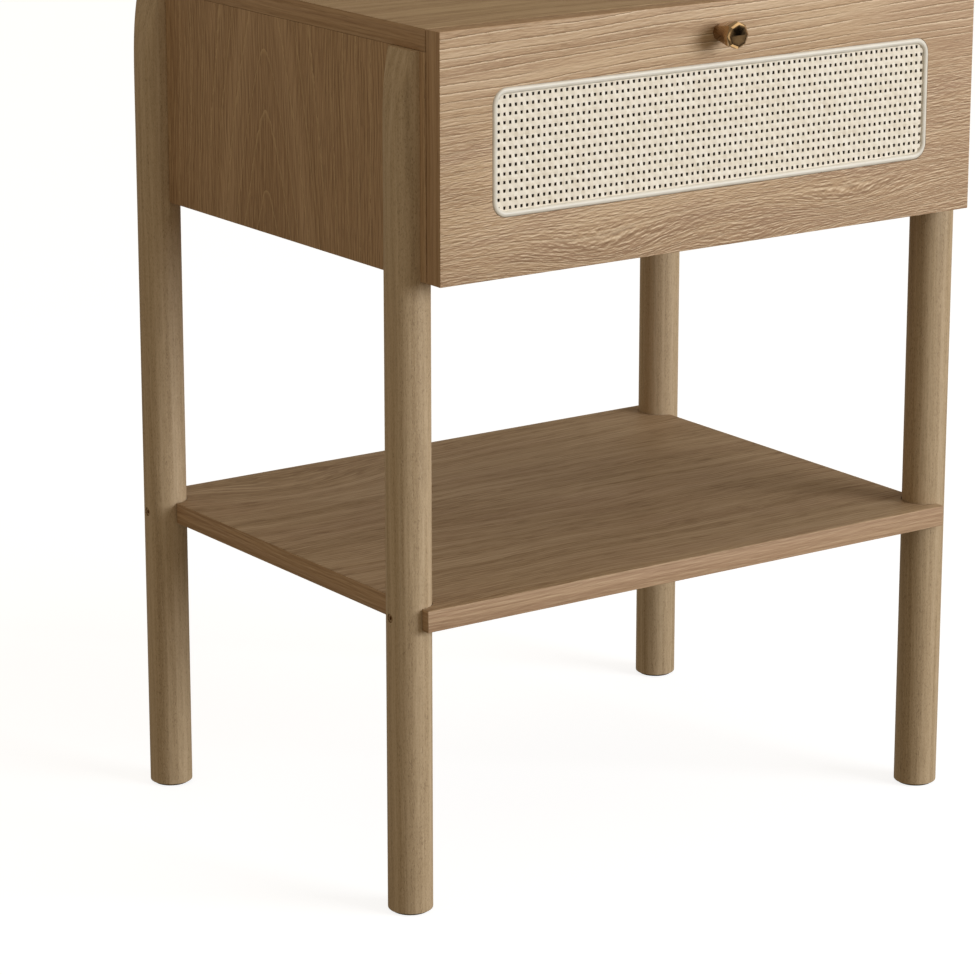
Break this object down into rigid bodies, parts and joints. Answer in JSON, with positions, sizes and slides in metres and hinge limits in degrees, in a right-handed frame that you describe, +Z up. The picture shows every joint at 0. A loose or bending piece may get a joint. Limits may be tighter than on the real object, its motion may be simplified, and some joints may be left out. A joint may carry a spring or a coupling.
{
  "type": "nightstand",
  "caption": "Nightstand: veneered carcase on round legs with sculpted tops, a drawer with a cane panel and faceted knob on ball-bearing slides, and an open lower shelf.",
  "frame": {"origin": "on the floor, under the middle of the whole piece's width and depth", "axes": "+Z up, +X to the right as seen from the front, -Y towards the front, the way the drawer opens"},
  "size_m": [0.5, 0.413, 0.627],
  "materials": {
    "oak_top": "satin veneered top board",
    "oak_side": "satin oak veneer, upright grain",
    "oak_shelf": "satin oak veneer",
    "oak_front": "brushed open-pored oak veneer",
    "oak_leg": "solid oak, satin",
    "birch": "plain birch plywood and hardwood dowels",
    "cane": "woven cane, matt",
    "cane_rim": "smooth cream bead",
    "dark_backing": "dark brown backing cloth",
    "bronze": "polished antique bronze",
    "slide_steel": "zinc-plated rolled steel",
    "ball_steel": "zinc-plated cage and bright balls",
    "screw_zinc": "zinc-plated",
    "glide": "black nylon",
    "bumper": "translucent silicone"
  },
  "bodies": {
    "frame": {"front_left_leg": "oak_leg", "front_right_leg": "oak_leg", "back_left_leg": "oak_leg", "back_right_leg": "oak_leg", "front_left_glide": "glide", "front_right_glide": "glide", "back_left_glide": "glide", "back_right_glide": "glide", "lower_shelf": "oak_shelf", "shelf_screws": "bronze", "top_panel": "oak_top", "left_side_panel": "oak_side", "right_side_panel": "oak_side", "bottom_panel": "oak_side", "back_panel": "birch", "back_panel_screws": "screw_zinc", "leg_bolts": "screw_zinc", "leg_inserts": "screw_zinc", "cam_locks": "screw_zinc", "cam_bolts": "screw_zinc", "carcase_dowels": "birch", "left_cabinet_slide": "slide_steel", "right_cabinet_slide": "slide_steel", "cabinet_slide_screws": "screw_zinc"},
    "left_slide_middle": {"left_middle_slide": "slide_steel"},
    "right_slide_middle": {"right_middle_slide": "slide_steel"},
    "left_outer_balls": {"left_outer_ball_cage": "ball_steel"},
    "right_outer_balls": {"right_outer_ball_cage": "ball_steel"},
    "left_inner_balls": {"left_inner_ball_cage": "ball_steel"},
    "right_inner_balls": {"right_inner_ball_cage": "ball_steel"},
    "drawer": {"left_drawer_slide": "slide_steel", "right_drawer_slide": "slide_steel", "drawer_slide_screws": "screw_zinc", "drawer_front": "oak_front", "cane_rim": "cane_rim", "cane_webbing": "cane", "cane_backing": "dark_backing", "knob": "bronze", "knob_screw": "screw_zinc", "drawer_inner_front": "birch", "drawer_left_side": "birch", "drawer_right_side": "birch", "drawer_back": "birch", "drawer_bottom": "birch", "drawer_front_screws": "screw_zinc", "drawer_dowels": "birch", "drawer_bumpers": "bumper"}
  },
  "joints": [
    {"name": "drawer_slide", "type": "slide", "parent": "frame", "child": "drawer", "axis": [0, -1, 0], "range_m": [0, 0.3]},
    {"name": "left_middle_slide_travel", "type": "slide", "parent": "frame", "child": "left_slide_middle", "axis": [0, -1, 0], "range_m": [0, 0.15]},
    {"name": "left_outer_balls_travel", "type": "slide", "parent": "frame", "child": "left_outer_balls", "axis": [0, -1, 0], "range_m": [0, 0.075]},
    {"name": "left_inner_balls_travel", "type": "slide", "parent": "frame", "child": "left_inner_balls", "axis": [0, -1, 0], "range_m": [0, 0.225]},
    {"name": "right_middle_slide_travel", "type": "slide", "parent": "frame", "child": "right_slide_middle", "axis": [0, -1, 0], "range_m": [0, 0.15]},
    {"name": "right_outer_balls_travel", "type": "slide", "parent": "frame", "child": "right_outer_balls", "axis": [0, -1, 0], "range_m": [0, 0.075]},
    {"name": "right_inner_balls_travel", "type": "slide", "parent": "frame", "child": "right_inner_balls", "axis": [0, -1, 0], "range_m": [0, 0.225]}
  ],
  "couplings": [
    {"joint": "left_middle_slide_travel", "follows": "drawer_slide", "ratio": 0.5},
    {"joint": "left_outer_balls_travel", "follows": "drawer_slide", "ratio": 0.25},
    {"joint": "left_inner_balls_travel", "follows": "drawer_slide", "ratio": 0.75},
    {"joint": "right_middle_slide_travel", "follows": "drawer_slide", "ratio": 0.5},
    {"joint": "right_outer_balls_travel", "follows": "drawer_slide", "ratio": 0.25},
    {"joint": "right_inner_balls_travel", "follows": "drawer_slide", "ratio": 0.75}
  ]
}
